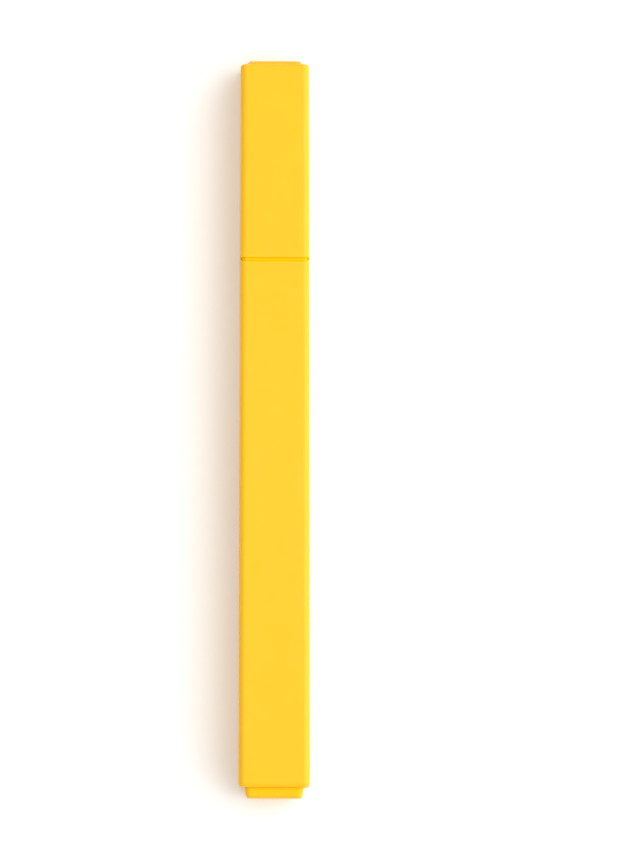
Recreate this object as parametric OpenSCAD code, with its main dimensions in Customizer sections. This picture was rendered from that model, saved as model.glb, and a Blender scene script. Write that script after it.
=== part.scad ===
// Square capped highlighter, lying on one flat side with its cap towards +Y.
// The modules draw each piece upright, with z measured from the end plug's outer
// face along the pen; lay_down() then places it in the part's frame.

/* [Outside] */
// Length of the barrel
barrel_l = 95.1; // [80:0.1:110]
// Width of the barrel at its rear end
rear_w = 12.95; // [12.9:0.05:13.3]
// Width of the barrel and the cap where they meet
seam_w = 12.6; // [12.5:0.05:12.8]
// Width of the cap at its closed end
cap_top_w = 12.4; // [12.2:0.05:12.5]
// Length of the cap shell
cap_l = 35.2; // [34.5:0.1:40]
// Radius of the four long edges
edge_r = 1.15; // [0.9:0.05:1.4]
// Radius round the barrel's rear end
rear_fillet = 0.9; // [0.4:0.05:0.9]
// Radius round the cap's closed end
cap_fillet = 0.6; // [0.3:0.05:0.7]

/* [Seam] */
// Height of the recessed band between the barrel and the cap
band_h = 0.65; // [0.4:0.05:0.9]
// How far the band lies below the faces
band_recess = 0.38; // [0.2:0.01:0.45]

/* [End plug] */
// How far the end plug stands out of the barrel
plug_proud = 2; // [1.6:0.1:3]
// Width of the end plug at its outer end
plug_end_w = 10.15; // [9.6:0.05:10.4]
// Depth of the end plug's skirt in the barrel
plug_skirt_l = 9.5; // [8:0.5:12]

/* [Cap head] */
// How far the liner's head stands out of the cap
head_proud = 0.45; // [0.3:0.05:0.8]
// Width of the liner's head where it comes out of the cap
head_w = 9.9; // [9.4:0.05:9.9]
// How far each flank of the head leans in over its proud height
head_slope = 0.35; // [0:0.05:0.5]

/* [Nib and section] */
// Length of the square neck that the cap grips
neck_l = 8; // [7:0.5:9]
// Length of the round collar that the liner seals on
collar_l = 5.5; // [4.5:0.5:6]
// Length of the tapered cone
cone_l = 4.3; // [3.5:0.1:5]
// Width of the nib across its chisel edge
nib_w = 5.4; // [4.6:0.1:5.6]
// Thickness of the nib
nib_t = 3.8; // [3:0.1:4]
// Length of nib that shows in front of the nozzle
nib_out = 6.6; // [5:0.1:6.8]

/* [Ink] */
// Diameter of the fibre reservoir
core_d = 8; // [7:0.1:8]
// Thickness of the film round the reservoir
film_t = 0.12; // [0.1:0.01:0.15]

/* [Hidden] */

$fn = 64;
arc_n = 8;          // straight steps in a rounded corner of an outer face
inner_arc_n = 4;    // the same inside
fillet_n = 5;       // steps in a rounding round an end
over = 0.5;         // how far a cut runs past the face it opens
lap = 0.1;          // how far solids that are joined run into each other
thin = 0.01;        // slice that a hull or a cut starts on

// Stations along the pen
barrel_z = plug_proud;
band_z = barrel_z + barrel_l;
cap_z = band_z + band_h;
cap_top_z = cap_z + cap_l;
overall_l = cap_top_z + head_proud;
draft_z = barrel_z + rear_fillet;   // the barrel is widest here

// Barrel cavity
seat_rear_w = rear_w - 2.3;     // square that holds the end plug
seat_front_w = seam_w - 2.25;   // square that holds the nib section
seat_front_l = 11;              // straight length of the front square
cavity_r = 0.7;
front_break = 0.15;             // broken edge at the barrel's front
rib_w = 0.8;
rib_gap = 0.4;                  // between a rib's end and the skirt that it faces
rib_root = 0.3;                 // how far a rib runs into the wall
rib_z = barrel_z + plug_skirt_l + rib_gap;
film_gap = 0.02;
film_r = core_d / 2 + film_gap + film_t;
rib_r = film_r + 0.06;          // distance of the ribs from the axis

// Press fits: a skirt is slimmer than its seat, and crush ribs take up the difference
skirt_gap = 0.1;
crush_w = 0.5;
crush_at = 3;                   // distance of a crush rib from the middle of its side
crush_start = 1;                // plain length at each end of a skirt
plug_fillet = 0.6;
plug_edge_r = 0.9;
plug_root_gap = 0.02;           // between the plug's root and the barrel's mouth
plug_floor = 1.5;
plug_wall = 1.05;
fin_w = 6.8;
fin_t = 0.9;

// Nib section
section_bore_d = 2 * film_r + 0.3;
skirt_z = band_z - seat_front_l + 0.3;
skirt_l = band_z - skirt_z;
neck_gap = 0.1;
cap_bore_w = seam_w - 1.9;
neck_w = cap_bore_w - 2 * neck_gap;
neck_r = 1;
neck_chamfer = 0.4;             // round the neck's front edge
collar_d = 8.6;
collar_z = cap_z + neck_l;
cone_z = collar_z + collar_l;
nozzle_z = cone_z + cone_l;
nozzle_l = 1.6;
nozzle_w = nib_w + 1.8;
nozzle_t = nib_t + 1.7;
nozzle_r = 2.2;
nozzle_break = 0.25;            // chamfer round the nozzle's rim
nib_z = nozzle_z + nozzle_l;    // where the nib comes out
nib_top_z = nib_z + nib_out;
core_top_z = collar_z - 1.6;
section_bore_top_z = core_top_z + 0.4;
nib_gap = 0.05;
nib_r = 0.7;
chisel_slant = 2.1;             // drop of the writing edge from one side to the other
chisel_l = 4.4;                 // length of the two bevels
chisel_flat = 1.5;              // thickness left at the writing edge
toe = 0.5;                      // blunting of the writing edge's two corners
tail_l = 5;
vent_w = 0.9;
vent_depth = 0.55;

// Snap beads on the neck and their grooves in the cap
bead_r = 0.3;
bead_l = 4.5;
bead_proud = 0.06;
bead_z = cap_z + 3.2;
groove_r = 0.4;
groove_depth = 0.12;
groove_l = bead_l + 0.4;

// Ink reservoir
core_z = rib_z + 2;
core_l = core_top_z - core_z;
film_inset = 0.8;               // the film stops short of the fibre at both ends

// Cap
cap_bore_r = 0.8;
cap_end_t = 1.6;
cap_end_z = cap_top_z - cap_end_t;
mouth_break = 0.25;
shoulder_drop = 0.22;           // the shoulder falls this far from the head to the edge
rim_w = 0.15;                   // flat rim left round the window
window_gap = 0.05;
window_w = head_w + 2 * window_gap;
air_d = 1.8;                    // air holes at the window's corners
air_at = 6.2;                   // their distance from the axis

// Liner
flange_d = cap_bore_w - 0.04;   // its four sides touch the cap's bore
flange_t = 1.2;
liner_d = cap_bore_w - 0.5;
liner_bore_d = collar_d + 0.1;
lead_in = 0.3;                  // flare at the liner's mouth, on each side
lead_in_l = 0.5;
chamber_d = collar_d - 0.3;
chamber_z = cone_z + 2;
chamber_end_z = overall_l - 1.2;
liner_z = collar_z + 0.6;
head_fillet = 0.12;
head_edge_r = 1.3;

yellow = [0.996, 0.835, 0.2];
ink = [0.93, 0.9, 0.12];
fibre = [0.93, 0.95, 0.55];
film = [0.9, 0.92, 0.9];

// Width of the outside at station z, from the barrel's and the cap's draft
function barrel_w(z) = rear_w + (seam_w - rear_w) * (z - draft_z) / (band_z - draft_z);
function cap_w(z) = seam_w + (cap_top_w - seam_w) * (z - cap_z) / cap_l;

function corner(q) = sqrt(2) * [cos(45 + 90 * q), sin(45 + 90 * q)];

// Outline of a rectangle w by t with rounded corners, anticlockwise
function outline(w, t, r, n) = [
    for (q = [0:3], i = [0:n])
        [corner(q).x * (w / 2 - r), corner(q).y * (t / 2 - r)]
        + r * [cos(90 * (q + i / n)), sin(90 * (q + i / n))]
];

// Sections [z, width, corner radius] of a square whose end at z is rounded by f.
// up is 1 at a lower end and -1 at an upper one, and they run away from the end.
function rounded_end(z, w, r, f, up) = [
    for (i = [0:fillet_n])
        let (a = 90 * i / fillet_n, inset = f * (1 - sin(a)))
            [z + up * f * (1 - cos(a)), w - 2 * inset, r - inset]
];

function reversed(list) = [for (i = [len(list) - 1:-1:0]) list[i]];

// Closed solid through square sections [z, width, corner radius], lowest first
module loft(sections, n = arc_n) {
    k = 4 * (n + 1);
    top = k * (len(sections) - 1);
    points = [
        for (s = sections, p = outline(s[1], s[1], s[2], n)) [p.x, p.y, s[0]]
    ];
    sides = [
        for (j = [0:len(sections) - 2], i = [0:k - 1])
            [j * k + i, (j + 1) * k + i, (j + 1) * k + (i + 1) % k, j * k + (i + 1) % k]
    ];
    polyhedron(
        points = points,
        faces = concat([[for (i = [0:k - 1]) i]], [[for (i = [k - 1:-1:0]) top + i]], sides)
    );
}

// Straight bar with a rounded rectangular section, from z to z + l
module bar(w, t, r, z, l, n = inner_arc_n)
    translate([0, 0, z]) linear_extrude(l) polygon(outline(w, t, r, n));

module on_four_sides()
    for (a = [0:90:270]) rotate([0, 0, a]) children();

module on_two_sides()
    for (a = [0, 180]) rotate([0, 0, a]) children();

// Pairs of flat crush ribs on each side of a skirt that runs from z to z + l
module crush_ribs(seat_w, z, l)
    on_four_sides()
        for (y = [-crush_at, crush_at])
            translate([seat_w / 2 - skirt_gap - over, y - crush_w / 2, z + crush_start])
                cube([skirt_gap + over, crush_w, l - 2 * crush_start]);

// Round bar of radius r across two sides of a square w wide, standing proud of them
module snap_bars(w, r, l, proud)
    on_two_sides()
        translate([w / 2 - r + proud, 0, bead_z])
            rotate([90, 0, 0]) cylinder(h = l, r = r, center = true);

module lay_down()
    translate([0, -overall_l / 2, rear_w / 2]) rotate([-90, 0, 0]) children();

module barrel_outside()
    loft(concat(
        rounded_end(barrel_z, rear_w, edge_r, rear_fillet, 1),
        [
            [band_z - front_break, barrel_w(band_z - front_break), edge_r],
            [band_z, seam_w - 2 * front_break, edge_r - front_break]
        ]
    ));

module barrel_cavity()
    loft([
        [barrel_z - over, seat_rear_w, cavity_r],
        [rib_z, seat_rear_w, cavity_r],
        [band_z - seat_front_l, seat_front_w, cavity_r],
        [band_z + over, seat_front_w, cavity_r]
    ], inner_arc_n);

// Four ribs keep the reservoir on the axis and leave air at the corners
module barrel_ribs()
    on_four_sides()
        translate([rib_r, -rib_w / 2, rib_z])
            cube([seat_rear_w / 2 + rib_root - rib_r, rib_w, skirt_z - rib_gap - rib_z]);

module barrel()
    color(yellow) {
        difference() {
            barrel_outside();
            barrel_cavity();
        }
        barrel_ribs();
    }

module plug_block() {
    root_w = seat_rear_w - 2 * plug_root_gap;
    loft(concat(
        rounded_end(0, plug_end_w, plug_edge_r, plug_fillet, 1),
        [[plug_proud, root_w, plug_edge_r], [plug_proud + 2 * lap, root_w, plug_edge_r]]
    ));
}

// Cross of fins that holds the reservoir against the nib
module plug_fins()
    for (a = [0, 90])
        rotate([0, 0, a])
            translate([-fin_w / 2, -fin_t / 2, plug_floor - lap])
                cube([fin_w, fin_t, core_z - plug_floor + lap]);

module end_plug()
    color(yellow) {
        skirt_w = seat_rear_w - 2 * skirt_gap;
        difference() {
            union() {
                plug_block();
                bar(skirt_w, skirt_w, plug_edge_r, plug_proud + lap, plug_skirt_l - lap);
                crush_ribs(seat_rear_w, plug_proud, plug_skirt_l);
            }
            bar(skirt_w - 2 * plug_wall, skirt_w - 2 * plug_wall, cavity_r,
                plug_floor, plug_proud + plug_skirt_l);
        }
        plug_fins();
    }

// Solid outline of the cone, from the round collar to the oblong nozzle
module section_nose() {
    rim_w = nozzle_w - 2 * nozzle_break;
    rim_t = nozzle_t - 2 * nozzle_break;
    hull() {
        translate([0, 0, cone_z - thin]) cylinder(h = thin, d = collar_d, $fn = 32);
        bar(nozzle_w, nozzle_t, nozzle_r, nozzle_z, thin);
    }
    hull() {
        bar(nozzle_w, nozzle_t, nozzle_r, nozzle_z, nozzle_l - nozzle_break);
        bar(rim_w, rim_t, nozzle_r - nozzle_break, nib_z - thin, thin);
    }
}

// Channel that holds the nib, with an air groove along each of its narrow sides
module nib_channel() {
    bar(nib_w + 2 * nib_gap, nib_t + 2 * nib_gap, nib_r, section_bore_top_z - over,
        nib_z - section_bore_top_z + 2 * over);
    bar(nib_w + 2 * vent_depth, vent_w, 0.2, section_bore_top_z - over,
        nib_z - section_bore_top_z + 2 * over);
}

module nib_section()
    color(yellow) {
        skirt_w = seat_front_w - 2 * skirt_gap;
        band_w = seam_w - 2 * band_recess;
        difference() {
            union() {
                bar(skirt_w, skirt_w, plug_edge_r, skirt_z, skirt_l + lap);
                crush_ribs(seat_front_w, skirt_z, skirt_l);
                bar(band_w, band_w, edge_r - band_recess, band_z, band_h, arc_n);
                loft([
                    [cap_z - lap, neck_w, neck_r],
                    [collar_z - neck_chamfer, neck_w, neck_r],
                    [collar_z, neck_w - 2 * neck_chamfer, neck_r - neck_chamfer]
                ]);
                snap_bars(neck_w, bead_r, bead_l, bead_proud);
                translate([0, 0, collar_z - lap]) cylinder(h = collar_l + lap, d = collar_d);
                section_nose();
            }
            translate([0, 0, skirt_z - over])
                cylinder(h = section_bore_top_z - skirt_z + over, d = section_bore_d);
            nib_channel();
        }
    }

// Chisel seen on its wide side: a slanted edge in front, a blunt point behind
nib_wide_side = [
    [-nib_w / 2, core_top_z], [-nib_w / 4, core_top_z - tail_l],
    [nib_w / 4, core_top_z - tail_l], [nib_w / 2, core_top_z],
    [nib_w / 2, nib_top_z - chisel_slant - toe], [nib_w / 2 - toe, nib_top_z - chisel_slant],
    [-nib_w / 2 + toe, nib_top_z], [-nib_w / 2, nib_top_z - toe]
];

// The same seen on its narrow side: two bevels up to a narrow flat
nib_narrow_side = [
    [-nib_t / 2, core_top_z], [-nib_t / 4, core_top_z - tail_l],
    [nib_t / 4, core_top_z - tail_l], [nib_t / 2, core_top_z],
    [nib_t / 2, nib_top_z - chisel_l], [chisel_flat / 2, nib_top_z],
    [-chisel_flat / 2, nib_top_z], [-nib_t / 2, nib_top_z - chisel_l]
];

module nib()
    color(ink)
        intersection() {
            bar(nib_w, nib_t, nib_r, core_top_z - tail_l - over,
                nib_top_z - core_top_z + tail_l + 2 * over);
            rotate([90, 0, 0]) linear_extrude(2 * nib_w, center = true) polygon(nib_wide_side);
            rotate([90, 0, 90]) linear_extrude(2 * nib_w, center = true) polygon(nib_narrow_side);
        }

// The fibre parts round the nib's tail, with a little room to spare
module tail_socket() {
    room = 2 * nib_gap;
    hull() {
        translate([0, 0, core_top_z - tail_l - nib_gap])
            cube([nib_w / 2 + room, nib_t / 2 + room, thin], center = true);
        translate([0, 0, core_top_z + thin])
            cube([nib_w + room, nib_t + room, 2 * thin], center = true);
    }
}

module reservoir_core()
    color(fibre)
        difference() {
            translate([0, 0, core_z]) cylinder(h = core_l, d = core_d);
            tail_socket();
        }

module reservoir_film()
    color(film, 0.5)
        translate([0, 0, core_z + film_inset])
            difference() {
                cylinder(h = core_l - 2 * film_inset, r = film_r);
                translate([0, 0, -over])
                    cylinder(h = core_l, r = core_d / 2 + film_gap);
            }

module cap_outside() {
    edge_z = cap_top_z - shoulder_drop;
    loft(concat(
        [[cap_z, seam_w - 2 * front_break, edge_r - front_break]],
        [[cap_z + front_break, cap_w(cap_z + front_break), edge_r]],
        reversed(rounded_end(edge_z, cap_top_w, edge_r, cap_fillet, -1)),
        [[cap_top_z, window_w + 2 * rim_w, head_edge_r + rim_w]]
    ));
}

module cap_shell()
    color(yellow)
        difference() {
            cap_outside();
            bar(cap_bore_w, cap_bore_w, cap_bore_r, cap_z - over, cap_end_z - cap_z + over);
            loft([
                [cap_z - thin, cap_bore_w + 2 * mouth_break, cap_bore_r + mouth_break],
                [cap_z + mouth_break, cap_bore_w, cap_bore_r]
            ]);
            bar(window_w, window_w, head_edge_r, cap_end_z - over, cap_end_t + 2 * over);
            on_four_sides()
                rotate([0, 0, 45]) translate([air_at, 0, cap_end_z - over])
                    cylinder(h = cap_end_t + 2 * over, d = air_d);
            snap_bars(cap_bore_w, groove_r, groove_l, groove_depth);
        }

module liner_head()
    loft(concat(
        [[cap_end_z - lap, head_w, head_edge_r], [cap_top_z, head_w, head_edge_r]],
        reversed(rounded_end(
            overall_l, head_w - 2 * head_slope, head_edge_r - head_slope, head_fillet, -1
        ))
    ));

// The round flange bears on the cap's end wall and leaves the bore's corners to the air
module cap_liner()
    color(yellow)
        difference() {
            union() {
                liner_head();
                translate([0, 0, cap_end_z - flange_t]) cylinder(h = flange_t, d = flange_d);
                translate([0, 0, liner_z]) cylinder(h = cap_end_z - liner_z, d = liner_d);
            }
            translate([0, 0, liner_z - over])
                cylinder(h = chamber_z - liner_z + over, d = liner_bore_d);
            translate([0, 0, chamber_z - lap])
                cylinder(h = chamber_end_z - chamber_z + lap, d = chamber_d);
            translate([0, 0, liner_z - thin])
                cylinder(h = lead_in_l, d1 = liner_bore_d + 2 * lead_in, d2 = liner_bore_d);
        }

lay_down() barrel();
lay_down() end_plug();
lay_down() nib_section();
lay_down() nib();
lay_down() reservoir_core();
lay_down() reservoir_film();
lay_down() cap_shell();
lay_down() cap_liner();
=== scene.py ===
"""Square capped highlighter in yellow satin plastic, seen from straight above on a white table.

Every piece is a loft along the pen, with small bars added to it or cut from it. Profiles are in
millimetres, and each finished piece is scaled to metres.
"""

import math
from collections import namedtuple

import bmesh
import bpy
import numpy as np
from mathutils import Matrix, Vector


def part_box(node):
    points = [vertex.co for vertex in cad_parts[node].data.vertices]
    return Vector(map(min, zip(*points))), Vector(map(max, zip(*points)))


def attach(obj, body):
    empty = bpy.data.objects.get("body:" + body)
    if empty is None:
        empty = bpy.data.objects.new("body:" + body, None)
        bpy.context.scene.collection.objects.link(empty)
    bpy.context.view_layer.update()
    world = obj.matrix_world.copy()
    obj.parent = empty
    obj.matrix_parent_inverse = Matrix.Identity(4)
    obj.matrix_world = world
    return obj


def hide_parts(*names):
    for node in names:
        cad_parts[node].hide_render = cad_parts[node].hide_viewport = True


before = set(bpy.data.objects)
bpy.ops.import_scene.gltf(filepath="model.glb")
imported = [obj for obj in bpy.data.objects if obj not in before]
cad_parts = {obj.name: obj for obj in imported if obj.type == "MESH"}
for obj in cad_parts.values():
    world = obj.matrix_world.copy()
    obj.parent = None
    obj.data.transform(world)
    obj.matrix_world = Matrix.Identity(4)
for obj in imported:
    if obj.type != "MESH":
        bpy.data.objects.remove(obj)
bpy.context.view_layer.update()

MM = 0.001
ARC_STEPS = 14  # straight steps in the rounded corner of an outline
FILLET_STEPS = 7  # and in the rounding of a profile
SHARP_ANGLE = math.radians(32)


# --- where things are, from the frame --------------------------------------------------------

def box_mm(node):
    low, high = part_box(node)
    return low / MM, high / MM


plug_low, _ = box_mm("end_plug")
barrel_low, barrel_high = box_mm("barrel")
section_low, section_high = box_mm("nib_section")
nib_low, nib_high = box_mm("nib")
core_low, core_high = box_mm("reservoir_core")
film_low, film_high = box_mm("reservoir_film")
cap_low, cap_high = box_mm("cap_shell")
liner_low, liner_high = box_mm("cap_liner")

AXIS_Z = (barrel_low.z + barrel_high.z) / 2
REAR_W = barrel_high.x - barrel_low.x
SEAM_W = cap_high.x - cap_low.x

# --- sizes that the boxes don't give, in millimetres -----------------------------------------

EDGE_R = 1.15
REAR_FILLET = 0.9
CAP_FILLET = 0.6
CAP_TOP_W = 12.4
MOUTH_BREAK = 0.1
RIM_L = 0.5  # distance from the seam of a ring that stops the shade painted into the recesses
RIM_FADE = 0.15  # length over which the painted shade fades out on a rim
SEAT_REAR_W = 10.65
SEAT_FRONT_W = 10.35
SEAT_FRONT_L = 11.0
SEAT_R = 0.7
SKIRT_GAP = 0.1
SKIRT_FILLET = 0.25
PLUG_END_W = 10.15
PLUG_EDGE_R = 0.9
PLUG_FILLET = 0.6
PLUG_SKIRT_L = 9.5
PLUG_FLOOR = 1.5
PLUG_WALL = 1.05
BAND_RECESS = 0.38
NECK_L = 8.0
COLLAR_D = 8.6
COLLAR_L = 5.5
CONE_L = 4.3
NOZZLE = (7.2, 5.5, 2.2)  # width, thickness and corner radius
NIB_R = 0.7
NIB_GAP = 0.05
BEAD_AT = 3.2  # from the cap's mouth to its snap grooves, and to the beads on the neck
CAP_BORE_W = 10.7
CAP_BORE_R = 0.8
CAP_END_T = 1.6
SHOULDER_DROP = 0.22
FLOOR_EYE_D = 1.0  # innermost ring of a flat floor
HEAD_W = 9.9
HEAD_R = 1.3
HEAD_SLOPE = 0.35  # how far each flank of the head leans in over its proud height
HEAD_FILLET = 0.12
LINER_D = 10.2
LINER_BORE_D = 8.7
CHAMBER_D = 8.3
FILM_T = 0.12

CORE_D = core_high.x - core_low.x
NIB_W = nib_high.x - nib_low.x
NIB_T = nib_high.z - nib_low.z

# Places along the pen
PLUG_SKIRT_Y = barrel_low.y + PLUG_SKIRT_L
COLLAR_Y = cap_low.y + NECK_L
CONE_Y = COLLAR_Y + COLLAR_L
NOZZLE_Y = CONE_Y + CONE_L
BEAD_Y = cap_low.y + BEAD_AT
CAP_END_Y = cap_high.y - CAP_END_T


# --- lofts -----------------------------------------------------------------------------------

Station = namedtuple("Station", "y w t r fillet")


def square(y, w, r, fillet=0.0):
    return Station(y, w, w, r, fillet)


def oblong(y, w, t, r, fillet=0.0):
    return Station(y, w, t, r, fillet)


def circle(y, d, fillet=0.0):
    return Station(y, d, d, d / 2, fillet)


def rounded(stations, closed):
    """The profile with an arc in place of each station that has a fillet."""
    out = []
    for i, s in enumerate(stations):
        if not s.fillet:
            out.append(s)
            continue
        here = np.array(s[:4])
        back = np.array(stations[i - 1][:4]) - here
        ahead = np.array(stations[(i + 1) % len(stations)][:4]) - here
        flat_back, flat_ahead = back[:2] * (1, 0.5), ahead[:2] * (1, 0.5)
        len_back, len_ahead = np.linalg.norm(flat_back), np.linalg.norm(flat_ahead)
        cosine = flat_back @ flat_ahead / (len_back * len_ahead)
        half_turn = (math.pi - math.acos(max(-1.0, min(1.0, cosine)))) / 2
        cut = s.fillet * math.tan(half_turn)
        start = here + back * min(cut / len_back, 0.5)
        end = here + ahead * min(cut / len_ahead, 0.5)
        for k in range(FILLET_STEPS + 1):
            u = k / FILLET_STEPS
            a, b, c = (1 - u) ** 2, 2 * u * (1 - u) * math.cos(half_turn), u * u
            out.append(Station(*((a * start + b * here + c * end) / (a + b + c)), 0.0))
    return out


def outline(s):
    """The section at a station, anticlockwise, as (x, z) from the pen's axis."""
    r = min(s.r, s.w / 2, s.t / 2)
    for q in range(4):
        turn = math.radians(45 + 90 * q)
        cx = math.copysign(s.w / 2 - r, math.cos(turn))
        cz = math.copysign(s.t / 2 - r, math.sin(turn))
        for k in range(ARC_STEPS + 1):
            a = math.radians(90 * (q + k / ARC_STEPS))
            yield cx + r * math.cos(a), cz + r * math.sin(a)


def loft(name, stations, closed=False, placed=None):
    """A closed mesh through the stations, in millimetres. A closed profile makes a tube."""
    bm = bmesh.new()
    rings = [
        [bm.verts.new((x, s.y, z)) for x, z in outline(s)]
        for s in rounded(stations, closed)
    ]
    pairs = list(zip(rings, rings[1:]))
    if closed:
        pairs.append((rings[-1], rings[0]))
    for low, high in pairs:
        for i in range(len(low)):
            j = (i + 1) % len(low)
            bm.faces.new((low[i], low[j], high[j], high[i]))
    if not closed:
        bm.faces.new(rings[0])
        bm.faces.new(rings[-1])
    bmesh.ops.remove_doubles(bm, verts=bm.verts, dist=1e-4)
    bmesh.ops.dissolve_degenerate(bm, edges=bm.edges, dist=1e-4)
    bmesh.ops.recalc_face_normals(bm, faces=bm.faces)
    if placed is None:
        placed = Matrix.Translation((0, 0, AXIS_Z))
    bm.transform(placed)
    mesh = bpy.data.meshes.new(name)
    bm.to_mesh(mesh)
    bm.free()
    obj = bpy.data.objects.new(name, mesh)
    bpy.context.scene.collection.objects.link(obj)
    return obj


def bake(obj):
    """Turns the object's modifiers into mesh."""
    bpy.context.view_layer.update()
    evaluated = obj.evaluated_get(bpy.context.evaluated_depsgraph_get())
    mesh = bpy.data.meshes.new_from_object(evaluated)
    obj.modifiers.clear()
    obj.data = mesh


def combine(obj, tools, operation):
    """Adds the tools to obj, or cuts them from it, and removes them."""
    for tool in tools:
        m = obj.modifiers.new("combine", "BOOLEAN")
        m.operation = operation
        m.solver = "EXACT"
        m.object = tool
        bake(obj)
        bpy.data.objects.remove(tool)


def block(low, high, r=0.08):
    """A small bar along the pen with softened edges, between two corners."""
    middle = (Vector(low) + Vector(high)) / 2
    w, t = high[0] - low[0], high[2] - low[2]
    ends = [oblong(y, w, t, r, r) for y in (low[1] - middle.y, high[1] - middle.y)]
    inner = [oblong(e.y, w / 3, t / 3, r / 3) for e in ends]
    return loft(
        "tool", [inner[0], ends[0], ends[1], inner[1]], placed=Matrix.Translation(middle)
    )


def four_ways(make):
    """make(angle) for each long side of the pen, turned about the pen's axis."""
    turned = []
    for quarter in range(4):
        about = Matrix.Translation((0, 0, AXIS_Z)) @ Matrix.Rotation(
            math.radians(90 * quarter), 4, "Y"
        )
        for tool in make():
            tool.data.transform(about)
            turned.append(tool)
    return turned


def side_block(x0, x1, y0, y1, z0, z1):
    """A bar on the +X side, about the pen's axis, for four_ways to turn."""
    return block((x0, y0, z0), (x1, y1, z1))


def crush_ribs(seat_w, y0, y1):
    """Two flat ribs on each side of a skirt, out to its seat."""
    plain, half_w, at = 1.0, 0.25, 3.0
    x0, x1 = seat_w / 2 - SKIRT_GAP - 0.3, seat_w / 2
    return four_ways(
        lambda: [
            side_block(x0, x1, y0 + plain, y1 - plain, z - half_w, z + half_w)
            for z in (-at, at)
        ]
    )


def edge_mask(mesh):
    """Point attribute "edge": 1 where the surface bends round an edge, 0 on flat faces."""
    bm = bmesh.new()
    bm.from_mesh(mesh)
    bend = np.zeros(len(bm.verts), np.float32)
    for e in bm.edges:
        if len(e.link_faces) == 2 and e.is_convex:
            angle = e.calc_face_angle(0.0)
            for v in e.verts:
                bend[v.index] = max(bend[v.index], angle)
    bm.free()
    values = np.clip(bend / math.radians(6), 0, 1)
    mesh.attributes.new("edge", "FLOAT", "POINT").data.foreach_set("value", values)


def length_mask(mesh, name, from_y, to_y):
    """Point attribute: 1 at from_y fading to 0 at to_y along the pen."""
    y = np.array([v.co.y for v in mesh.vertices], np.float32)
    values = np.clip((y - to_y) / (from_y - to_y), 0, 1)
    mesh.attributes.new(name, "FLOAT", "POINT").data.foreach_set("value", values)


def finish_piece(obj, name, body, node, material, masks=()):
    """Scales a piece to metres, sets its shading and ties it to the frame."""
    obj.name = obj.data.name = name
    for mask in masks:
        length_mask(obj.data, *mask)
    obj.data.transform(Matrix.Scale(MM, 4))
    edge_mask(obj.data)
    obj.data.shade_smooth()
    obj.data.set_sharp_from_angle(angle=SHARP_ANGLE)
    m = obj.modifiers.new("even_normals", "WEIGHTED_NORMAL")
    m.keep_sharp = True
    m.weight = 60
    obj.data.materials.clear()
    obj.data.materials.append(material)
    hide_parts(node)
    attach(obj, body)


# --- materials -------------------------------------------------------------------------------

class Nodes:
    """A material's node tree, with short calls for the nodes used here."""

    def __init__(self, name):
        self.material = bpy.data.materials.new(name)
        self.material.use_nodes = True
        self.tree = self.material.node_tree
        self.shader = self.tree.nodes["Principled BSDF"]
        self.place = self.add("ShaderNodeTexCoord").outputs["Object"]

    def add(self, kind, **settings):
        node = self.tree.nodes.new(kind)
        for key, value in settings.items():
            setattr(node, key, value)
        return node

    def link(self, out, into):
        self.tree.links.new(out, into)

    def stretched(self, scale):
        node = self.add("ShaderNodeMapping")
        node.inputs["Scale"].default_value = scale
        self.link(self.place, node.inputs["Vector"])
        return node.outputs["Vector"]

    def noise(self, size_mm, detail=2.0, vector=None, roughness=0.5):
        """Noise whose features are about size_mm across, from 0 to 1."""
        node = self.add("ShaderNodeTexNoise")
        node.inputs["Scale"].default_value = 1 / (size_mm * MM)
        node.inputs["Detail"].default_value = detail
        node.inputs["Roughness"].default_value = roughness
        self.link(vector or self.place, node.inputs["Vector"])
        return node.outputs["Fac"]

    def ramp(self, value, low, high, from_low=0.3, from_high=0.7):
        node = self.add("ShaderNodeMapRange")
        node.inputs["From Min"].default_value = from_low
        node.inputs["From Max"].default_value = from_high
        node.inputs["To Min"].default_value = low
        node.inputs["To Max"].default_value = high
        self.link(value, node.inputs["Value"])
        return node.outputs["Result"]

    def math(self, operation, a, b):
        node = self.add("ShaderNodeMath", operation=operation)
        for socket, value in zip(node.inputs, (a, b)):
            if isinstance(value, (int, float)):
                socket.default_value = value
            else:
                self.link(value, socket)
        return node.outputs[0]

    def mix(self, factor, a, b):
        node = self.add("ShaderNodeMix", data_type="RGBA")
        self.link(factor, node.inputs["Factor"])
        for key, value in (("A", a), ("B", b)):
            socket = [s for s in node.inputs if s.name == key and s.type == "RGBA"][0]
            if isinstance(value, tuple):
                socket.default_value = (*value, 1)
            else:
                self.link(value, socket)
        return [s for s in node.outputs if s.type == "RGBA"][0]

    def attribute(self, name):
        return self.add("ShaderNodeAttribute", attribute_name=name).outputs["Fac"]

    def bump(self, height, depth_mm, normal=None):
        node = self.add("ShaderNodeBump")
        node.inputs["Strength"].default_value = 1.0
        node.inputs["Distance"].default_value = depth_mm * MM
        self.link(height, node.inputs["Height"])
        if normal is not None:
            self.link(normal, node.inputs["Normal"])
        return node.outputs["Normal"]


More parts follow.
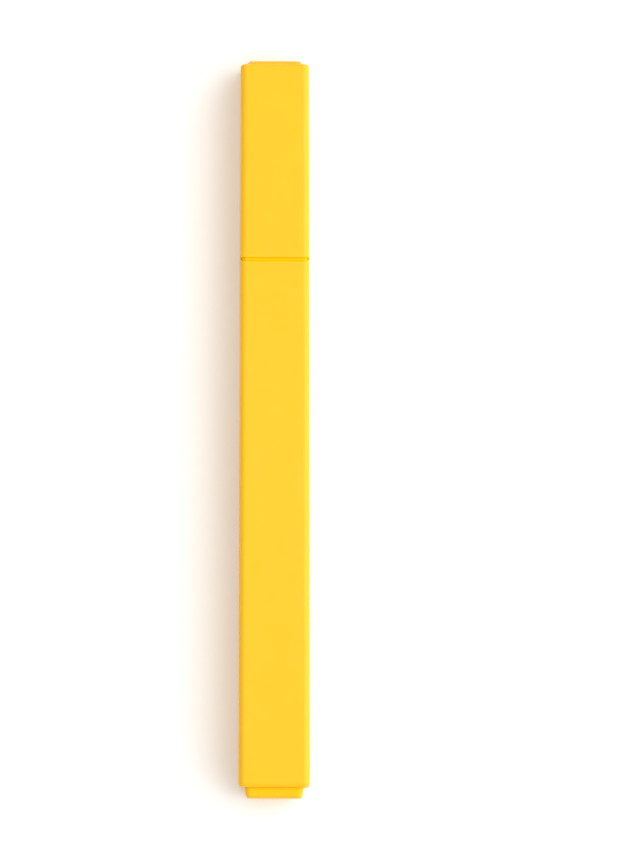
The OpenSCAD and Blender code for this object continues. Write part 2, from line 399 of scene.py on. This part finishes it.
def moulded_plastic(name, colour, shade, rub, painted_shade):
    """Satin moulded plastic: a fine spark-eroded grain, slow sink ripples and rubbed edges.

    The mask for recesses paints shade into the seam's grooves and rims and the step at the
    plug:
    it turns the colour to a darker, more saturated yellow and takes the specular reflection
    away, as painted shade for a groove that mirrors only its own walls. The "ink" mask lets
    blotches of ink show.
    """
    n = Nodes(name)
    mottle = n.ramp(n.noise(7, detail=3), 0, 1)
    recess_shade = n.attribute("recess_shade")
    # painted shade: the mask for recesses mixes in the darker colour where the seam and rims
    # would shade themselves
    tone = n.mix(recess_shade, n.mix(mottle, colour, shade), painted_shade)
    edge = n.math("MULTIPLY", n.attribute("edge"), n.ramp(n.noise(2.5, detail=4), 0.2, 0.8))
    rubbed = n.mix(n.math("MULTIPLY", edge, 0.35), tone, rub)
    blotch = n.math("ADD", n.noise(1.3, detail=5), n.math("MULTIPLY", n.attribute("ink"), 0.5))
    inked = n.math("MULTIPLY", n.ramp(blotch, 0, 0.85, 0.68, 0.86), n.attribute("ink"))
    n.link(n.mix(inked, rubbed, INK_RESIDUE), n.shader.inputs["Base Color"])
    drag = n.noise(0.5, detail=3, vector=n.stretched((1, 0.06, 1)))
    rough = n.math("ADD", n.ramp(n.noise(4, detail=3), 0.38, 0.46), n.ramp(drag, -0.02, 0.03))
    rough = n.math("SUBTRACT", rough, n.math("MULTIPLY", edge, 0.08))
    rough = n.math("ADD", rough, n.math("MULTIPLY", recess_shade, 0.15))
    n.link(rough, n.shader.inputs["Roughness"])
    # painted shade: no specular reflection where the mask for recesses is on
    n.link(n.ramp(recess_shade, 0.5, 0, 0, 1), n.shader.inputs["Specular IOR Level"])
    grain = n.bump(n.noise(0.11, detail=2), 0.005)
    n.link(n.bump(n.noise(9, detail=1), 0.03, grain), n.shader.inputs["Normal"])
    n.shader.inputs["IOR"].default_value = 1.38
    return n.material


def inked_felt(name, colour, dark):
    """Pressed fibre soaked in ink: threads along the pen, dull, with a little fuzz."""
    n = Nodes(name)
    threads = n.noise(0.09, detail=4, vector=n.stretched((1, 0.07, 1)))
    clumps = n.noise(1.1, detail=3)
    shade = n.math("MULTIPLY", n.ramp(threads, 0.25, 1), n.ramp(clumps, 0.7, 1))
    n.link(n.mix(shade, dark, colour), n.shader.inputs["Base Color"])
    n.link(n.ramp(clumps, 0.78, 0.95), n.shader.inputs["Roughness"])
    weave = n.bump(threads, 0.03)
    n.link(n.bump(n.noise(0.05, detail=2), 0.012, weave), n.shader.inputs["Normal"])
    n.shader.inputs["Sheen Weight"].default_value = 0.25
    n.shader.inputs["Sheen Roughness"].default_value = 0.5
    return n.material


def clear_film(name):
    """Thin glossy wrap with fine wrinkles."""
    n = Nodes(name)
    tint = n.mix(n.ramp(n.noise(6), 0, 1), (0.9, 0.93, 0.86), (0.82, 0.87, 0.72))
    n.link(tint, n.shader.inputs["Base Color"])
    n.link(n.ramp(n.noise(1.5, detail=3), 0.12, 0.25), n.shader.inputs["Roughness"])
    wrinkles = n.noise(0.8, detail=4, vector=n.stretched((1, 0.15, 1)))
    n.link(n.bump(wrinkles, 0.04), n.shader.inputs["Normal"])
    n.shader.inputs["Alpha"].default_value = 0.45
    return n.material


def table_surface():
    """Matt white board with a trace of tooth, lit faintly from below as a light table is."""
    n = Nodes("white_board")
    n.link(
        n.mix(n.ramp(n.noise(30), 0, 1), (0.93, 0.93, 0.93), (0.92, 0.92, 0.92)),
        n.shader.inputs["Base Color"],
    )
    n.link(n.bump(n.noise(0.4, detail=3), 0.01), n.shader.inputs["Normal"])
    n.shader.inputs["Roughness"].default_value = 0.9
    n.shader.inputs["Specular IOR Level"].default_value = 0.1
    n.shader.inputs["Emission Color"].default_value = (1, 1, 1, 1)
    n.shader.inputs["Emission Strength"].default_value = 0.12
    return n.material


# --- pieces ----------------------------------------------------------------------------------

def make_barrel():
    y0, y1 = barrel_low.y, barrel_high.y
    rib_gap, bore_fillet = 0.4, 0.5
    rib_y = PLUG_SKIRT_Y + rib_gap
    rim_w = SEAM_W + (REAR_W - SEAM_W) * RIM_L / (y1 - y0)
    obj = loft(
        "barrel",
        [
            square(y0, SEAT_REAR_W + 2 * MOUTH_BREAK, SEAT_R + MOUTH_BREAK),
            square(y0, REAR_W, EDGE_R, REAR_FILLET),
            square(y1 - RIM_L, rim_w, EDGE_R),
            square(y1, SEAM_W, EDGE_R, MOUTH_BREAK),
            square(y1, SEAT_FRONT_W + 2 * MOUTH_BREAK, SEAT_R + MOUTH_BREAK),
            square(y1 - MOUTH_BREAK, SEAT_FRONT_W, SEAT_R),
            square(y1 - SEAT_FRONT_L, SEAT_FRONT_W, SEAT_R, bore_fillet),
            square(rib_y, SEAT_REAR_W, SEAT_R, bore_fillet),
            square(y0 + MOUTH_BREAK, SEAT_REAR_W, SEAT_R),
        ],
        closed=True,
    )
    rib_half, rib_root, core_gap = 0.4, 0.3, 0.2
    x0, x1 = CORE_D / 2 + core_gap, SEAT_REAR_W / 2 + rib_root
    rib_end_y = section_low.y - rib_gap
    ribs = four_ways(lambda: [side_block(x0, x1, rib_y, rib_end_y, -rib_half, rib_half)])
    combine(obj, ribs, "UNION")
    return obj


def gate_mark(y, inward):
    """Stations of a moulding gate's mark: a stub in a shallow dimple, inside the face at y."""
    stub_y, dimple_y = y + inward * 0.07, y + inward * 0.16
    return [
        circle(stub_y, 0.45),
        circle(dimple_y, 0.6, 0.04),
        circle(dimple_y, 1.3, 0.08),
        circle(y, 1.7, 0.08),
    ]


def make_plug():
    y0, y1 = plug_low.y, barrel_low.y
    root_gap, root_l = 0.02, 0.2
    skirt_w = SEAT_REAR_W - 2 * SKIRT_GAP
    root_w = SEAT_REAR_W - 2 * root_gap
    inner_w = skirt_w - 2 * PLUG_WALL
    floor_y = y0 + PLUG_FLOOR
    obj = loft(
        "plug",
        gate_mark(y0, 1)
        + [
            square(y0, PLUG_END_W, PLUG_EDGE_R, PLUG_FILLET),
            square(y1, root_w, PLUG_EDGE_R),
            square(y1 + root_l, root_w, PLUG_EDGE_R),
            square(y1 + root_l, skirt_w, PLUG_EDGE_R),
            square(PLUG_SKIRT_Y, skirt_w, PLUG_EDGE_R, SKIRT_FILLET),
            square(PLUG_SKIRT_Y, inner_w, SEAT_R, 0.1),
            square(floor_y, inner_w, SEAT_R, 0.3),
            circle(floor_y, FLOOR_EYE_D),
        ],
    )
    fin_half_w, fin_half_t, fin_root = 3.4, 0.45, 0.1
    fins = [
        block((-a, floor_y - fin_root, AXIS_Z - b), (a, core_low.y, AXIS_Z + b))
        for a, b in ((fin_half_w, fin_half_t), (fin_half_t, fin_half_w))
    ]
    combine(obj, fins, "UNION")
    combine(obj, crush_ribs(SEAT_REAR_W, y1, PLUG_SKIRT_Y), "UNION")
    return obj


def snap_bars(w, r, half_l, proud, y):
    """Round bars across the two side faces of a square w wide, standing proud of them."""
    along_z = Matrix.Rotation(math.radians(90), 4, "X")
    ends = [circle(-half_l, r), circle(-half_l, 2 * r, r * 0.9)]
    ends += [circle(half_l, 2 * r, r * 0.9), circle(half_l, r)]
    return [
        loft(
            "tool",
            ends,
            placed=Matrix.Translation((side * (w / 2 - r + proud), y, AXIS_Z)) @ along_z,
        )
        for side in (-1, 1)
    ]


def make_nib_section():
    skirt_w = SEAT_FRONT_W - 2 * SKIRT_GAP
    band_w = SEAM_W - 2 * BAND_RECESS
    bore_d, bore_flare = CORE_D + 0.58, 0.1
    neck_gap, neck_r, chamfer = 0.1, 1.0, 0.4
    neck_w = CAP_BORE_W - 2 * neck_gap
    slot_w, slot_t = NIB_W + 2 * NIB_GAP, NIB_T + 2 * NIB_GAP
    bore_y = core_high.y + 0.4
    nozzle_w, nozzle_t, nozzle_r = NOZZLE
    obj = loft(
        "section",
        [
            circle(section_low.y, bore_d + 2 * bore_flare),
            square(section_low.y, skirt_w, PLUG_EDGE_R, SKIRT_FILLET),
            square(barrel_high.y, skirt_w, PLUG_EDGE_R),
            square(barrel_high.y, band_w, EDGE_R - BAND_RECESS, 0.05),
            square(cap_low.y, band_w, EDGE_R - BAND_RECESS, 0.05),
            square(cap_low.y, neck_w, neck_r),
            square(cap_low.y + RIM_L, neck_w, neck_r),
            square(COLLAR_Y - chamfer, neck_w, neck_r, 0.2),
            square(COLLAR_Y, neck_w - 2 * chamfer, neck_r - chamfer, 0.15),
            circle(COLLAR_Y, COLLAR_D, 0.15),
            circle(CONE_Y, COLLAR_D, 0.6),
            oblong(NOZZLE_Y, nozzle_w, nozzle_t, nozzle_r, 0.8),
            oblong(section_high.y, nozzle_w, nozzle_t, nozzle_r, 0.3),
            oblong(section_high.y, slot_w, slot_t, NIB_R, 0.12),
            oblong(bore_y, slot_w, slot_t, NIB_R),
            circle(bore_y, bore_d, 0.2),
            circle(section_low.y + bore_flare, bore_d),
        ],
        closed=True,
    )
    bead_r, bead_half_l, bead_proud = 0.3, 2.25, 0.06
    combine(obj, snap_bars(neck_w, bead_r, bead_half_l, bead_proud, BEAD_Y), "UNION")
    combine(obj, crush_ribs(SEAT_FRONT_W, section_low.y, barrel_high.y), "UNION")
    vent_half_w, vent_half_t, past = NIB_W / 2 + 0.55, 0.45, 0.3
    vent = block(
        (-vent_half_w, bore_y - past, AXIS_Z - vent_half_t),
        (vent_half_w, section_high.y + past, AXIS_Z + vent_half_t),
        r=0.15,
    )
    combine(obj, [vent], "DIFFERENCE")
    return obj


def make_nib():
    """A felt bar with a slim tail, cut to a chisel by planes and softened along its edges."""
    obj = loft(
        "nib",
        [
            oblong(nib_low.y, NIB_W / 4, NIB_T / 4, 0.1),
            oblong(nib_low.y, NIB_W / 2, NIB_T / 2, 0.25, 0.2),
            oblong(core_high.y, NIB_W, NIB_T, NIB_R, 0.8),
            oblong(nib_high.y + 1, NIB_W, NIB_T, NIB_R),
        ],
    )
    slant, bevel_l, flat, toe = 2.1, 4.4, 1.5, 0.5
    tip = nib_high.y
    run = NIB_T / 2 - flat / 2
    cuts = [
        ((-NIB_W / 2 + toe, tip, AXIS_Z), (slant, NIB_W - 2 * toe, 0)),
        ((-NIB_W / 2, tip - toe, AXIS_Z), (-1, 1, 0)),
        ((NIB_W / 2, tip - slant - toe, AXIS_Z), (1, 1, 0)),
    ]
    for side in (-1, 1):
        cuts.append(((0, tip, AXIS_Z + side * flat / 2), (0, run, side * bevel_l)))
    bm = bmesh.new()
    bm.from_mesh(obj.data)
    for point, normal in cuts:
        everything = bm.verts[:] + bm.edges[:] + bm.faces[:]
        cut = bmesh.ops.bisect_plane(
            bm, geom=everything, plane_co=point, plane_no=normal, clear_outer=True
        )
        rim = [e for e in cut["geom_cut"] if isinstance(e, bmesh.types.BMEdge)]
        bmesh.ops.edgenet_fill(bm, edges=rim)
    bmesh.ops.recalc_face_normals(bm, faces=bm.faces)
    bm.to_mesh(obj.data)
    bm.free()
    m = obj.modifiers.new("soft_edges", "BEVEL")
    m.width = 0.16
    m.segments = 4
    m.limit_method = "ANGLE"
    m.angle_limit = math.radians(18)
    bake(obj)
    return obj


def make_core():
    """The fibre reservoir, with the socket that the nib's tail presses into it."""
    y0, y1 = core_low.y, core_high.y
    room, end_fillet = 2 * NIB_GAP, 0.35
    return loft(
        "core",
        [
            circle(y0, CORE_D / 2),
            circle(y0, CORE_D, end_fillet),
            circle(y1, CORE_D, end_fillet),
            oblong(y1, NIB_W + room, NIB_T + room, 0.2),
            oblong(nib_low.y - NIB_GAP, NIB_W / 2 + room, NIB_T / 2 + room, 0.1),
        ],
    )


def make_film():
    """The clear wrap round the reservoir, with its lap between two of the barrel's ribs."""
    y0, y1 = film_low.y, film_high.y
    outer_d = film_high.x - film_low.x
    inner_d = outer_d - 2 * FILM_T
    obj = loft(
        "film",
        [circle(y0, inner_d), circle(y0, outer_d), circle(y1, outer_d), circle(y1, inner_d)],
        closed=True,
    )
    lap_half_w, lap_proud, lap_sunk, lap_short = 0.5, 0.06, 0.09, 0.2
    r = outer_d / 2
    lap = block(
        (-lap_half_w, y0 + lap_short, r - lap_sunk),
        (lap_half_w, y1 - lap_short, r + lap_proud),
        r=0.02,
    )
    lap.data.transform(
        Matrix.Translation((0, 0, AXIS_Z)) @ Matrix.Rotation(math.radians(45), 4, "Y")
    )
    combine(obj, [lap], "UNION")
    return obj


def make_cap():
    y0, y1 = cap_low.y, cap_high.y
    window_gap, rim_flat, lead_in = 0.05, 0.15, 0.25
    window_w = HEAD_W + 2 * window_gap
    shoulder_y = y1 - SHOULDER_DROP
    rim_w = SEAM_W + (CAP_TOP_W - SEAM_W) * RIM_L / (shoulder_y - y0)
    obj = loft(
        "cap",
        [
            square(y0, CAP_BORE_W + 2 * lead_in, CAP_BORE_R + lead_in),
            square(y0, SEAM_W, EDGE_R, MOUTH_BREAK),
            square(y0 + RIM_L, rim_w, EDGE_R),
            square(shoulder_y, CAP_TOP_W, EDGE_R, CAP_FILLET),
            square(y1, window_w + 2 * rim_flat, HEAD_R + rim_flat, 0.12),
            square(y1, window_w, HEAD_R),
            square(CAP_END_Y, window_w, HEAD_R),
            square(CAP_END_Y, CAP_BORE_W, CAP_BORE_R),
            square(y0 + lead_in, CAP_BORE_W, CAP_BORE_R),
        ],
        closed=True,
    )
    air_d, air_at, past = 1.8, 6.2, 0.5
    air_turn = 1.3  # keeps the holes' edges off the cap's own
    holes = [
        loft(
            "tool",
            [circle(CAP_END_Y - past, air_d), circle(y1 + past, air_d)],
            placed=Matrix.Translation((0, 0, AXIS_Z))
            @ Matrix.Rotation(math.radians(45 + 90 * q), 4, "Y")
            @ Matrix.Translation((air_at, 0, 0))
            @ Matrix.Rotation(math.radians(air_turn), 4, "Y"),
        )
        for q in range(4)
    ]
    combine(obj, holes, "DIFFERENCE")
    groove_r, groove_half_l, groove_depth = 0.4, 2.45, 0.12
    grooves = snap_bars(CAP_BORE_W, groove_r, groove_half_l, groove_depth, BEAD_Y)
    combine(obj, grooves, "DIFFERENCE")
    return obj


def make_liner():
    y0, y1 = liner_low.y, liner_high.y
    wall, lead_in, lead_in_l = 1.2, 0.3, 0.5
    flange_y, flange_d = CAP_END_Y - wall, CAP_BORE_W - 0.04
    chamber_y = CONE_Y + 2
    return loft(
        "liner",
        gate_mark(y1, -1)
        + [
            square(y1, HEAD_W - 2 * HEAD_SLOPE, HEAD_R - HEAD_SLOPE, HEAD_FILLET),
            square(cap_high.y, HEAD_W, HEAD_R),
            square(CAP_END_Y, HEAD_W, HEAD_R),
            circle(CAP_END_Y, flange_d, 0.1),
            circle(flange_y, flange_d, 0.1),
            circle(flange_y, LINER_D, 0.1),
            circle(y0, LINER_D, 0.2),
            circle(y0, LINER_BORE_D + 2 * lead_in, 0.05),
            circle(y0 + lead_in_l, LINER_BORE_D, 0.2),
            circle(chamber_y, LINER_BORE_D),
            circle(chamber_y, CHAMBER_D),
            circle(y1 - wall, CHAMBER_D, 0.6),
            circle(y1 - wall, FLOOR_EYE_D),
        ],
    )


# --- build it --------------------------------------------------------------------------------

YELLOW = (0.95, 0.497, 0.002)
YELLOW_SHADE = (0.94, 0.484, 0.001)
YELLOW_RUB = (0.97, 0.54, 0.02)
# painted shade: the darker yellow laid into recesses, in place of the shade they cast
YELLOW_RECESS_SHADE = (0.91, 0.56, 0.0)
INK_RESIDUE = (0.86, 0.8, 0.01)

plastic = moulded_plastic("yellow_plastic", YELLOW, YELLOW_SHADE, YELLOW_RUB, YELLOW_RECESS_SHADE)
felt = inked_felt("inked_felt", (0.9, 0.9, 0.02), (0.66, 0.6, 0.006))
fibre = inked_felt("ink_fibre", (0.85, 0.88, 0.2), (0.66, 0.7, 0.08))
film = clear_film("clear_film")

# Masks along the pen: the recess ones paint shade onto the seam's rims, the step at the plug
# and the band; the ink one is real ink near the tip
BARREL_MASKS = [("recess_shade", barrel_high.y, barrel_high.y - RIM_FADE)]
CAP_MASKS = [("recess_shade", cap_low.y, cap_low.y + RIM_FADE)]
PLUG_MASKS = [("recess_shade", barrel_low.y, plug_low.y + 0.3)]
SECTION_MASKS = [
    ("recess_shade", cap_low.y, cap_low.y + RIM_L),
    ("ink", section_high.y, section_high.y - 3.0),
]

finish_piece(make_barrel(), "barrel_tube", "pen", "barrel", plastic, BARREL_MASKS)
finish_piece(make_plug(), "rear_plug", "pen", "end_plug", plastic, PLUG_MASKS)
finish_piece(
    make_nib_section(), "nib_holder", "pen", "nib_section", plastic, SECTION_MASKS
)
finish_piece(make_nib(), "felt_nib", "pen", "nib", felt)
finish_piece(make_core(), "fibre_core", "pen", "reservoir_core", fibre)
finish_piece(make_film(), "core_wrap", "pen", "reservoir_film", film)
finish_piece(make_cap(), "cap_body", "cap", "cap_shell", plastic, CAP_MASKS)
finish_piece(make_liner(), "cap_seal", "cap", "cap_liner", plastic)


# --- stage, light and camera -----------------------------------------------------------------

def area_light(name, at, size, power, target=(0, 0, 0)):
    light = bpy.data.lights.new(name, "AREA")
    light.shape = "RECTANGLE"
    light.size, light.size_y = size
    light.energy = power
    obj = bpy.data.objects.new(name, light)
    obj.location = at
    obj.rotation_euler = (Vector(target) - Vector(at)).to_track_quat("-Z", "Y").to_euler()
    obj.visible_camera = False
    bpy.context.scene.collection.objects.link(obj)


def make_floor():
    half = 4.0
    mesh = bpy.data.meshes.new("floor")
    corners = [(-half, -half, 0), (half, -half, 0), (half, half, 0), (-half, half, 0)]
    mesh.from_pydata(corners, [], [(0, 1, 2, 3)])
    mesh.materials.append(table_surface())
    obj = bpy.data.objects.new("floor", mesh)
    bpy.context.scene.collection.objects.link(obj)


def make_world(strength):
    world = bpy.data.worlds.new("studio")
    world.use_nodes = True
    background = world.node_tree.nodes["Background"]
    background.inputs["Color"].default_value = (1, 1, 1, 1)
    background.inputs["Strength"].default_value = strength
    bpy.context.scene.world = world


def make_camera():
    """Nearly straight above with a long lens, leaning a little from the plug's end.

    The pen lies left of the picture's middle, and not quite upright in it.
    """
    sensor, width_of_view, distance = 36.0, 0.15475, 2.5
    lean, turn = math.radians(2.3), math.radians(0.05)
    middle = Vector((0.00822, 0.00062, AXIS_Z * MM))
    away = Matrix.Rotation(turn, 3, "Z") @ Vector((0, -math.sin(lean), math.cos(lean)))
    camera = bpy.data.cameras.new("camera")
    camera.sensor_width = sensor
    camera.lens = distance * sensor / width_of_view
    camera.clip_end = 20
    obj = bpy.data.objects.new("camera", camera)
    obj.rotation_euler = (lean, 0, turn)
    obj.location = middle + away * distance
    bpy.context.scene.collection.objects.link(obj)
    bpy.context.scene.camera = obj


make_floor()
make_world(0.62)
area_light("window", (0.75, 0.1, 1.0), (2.0, 1.2), 15.8)
area_light("side_wall", (1.4, 0, 0.45), (1.6, 0.8), 5.0)
area_light("overhead", (0, 0, 0.28), (0.1, 0.1), 0.055)
make_camera()
bpy.context.scene.view_settings.view_transform = "Standard"
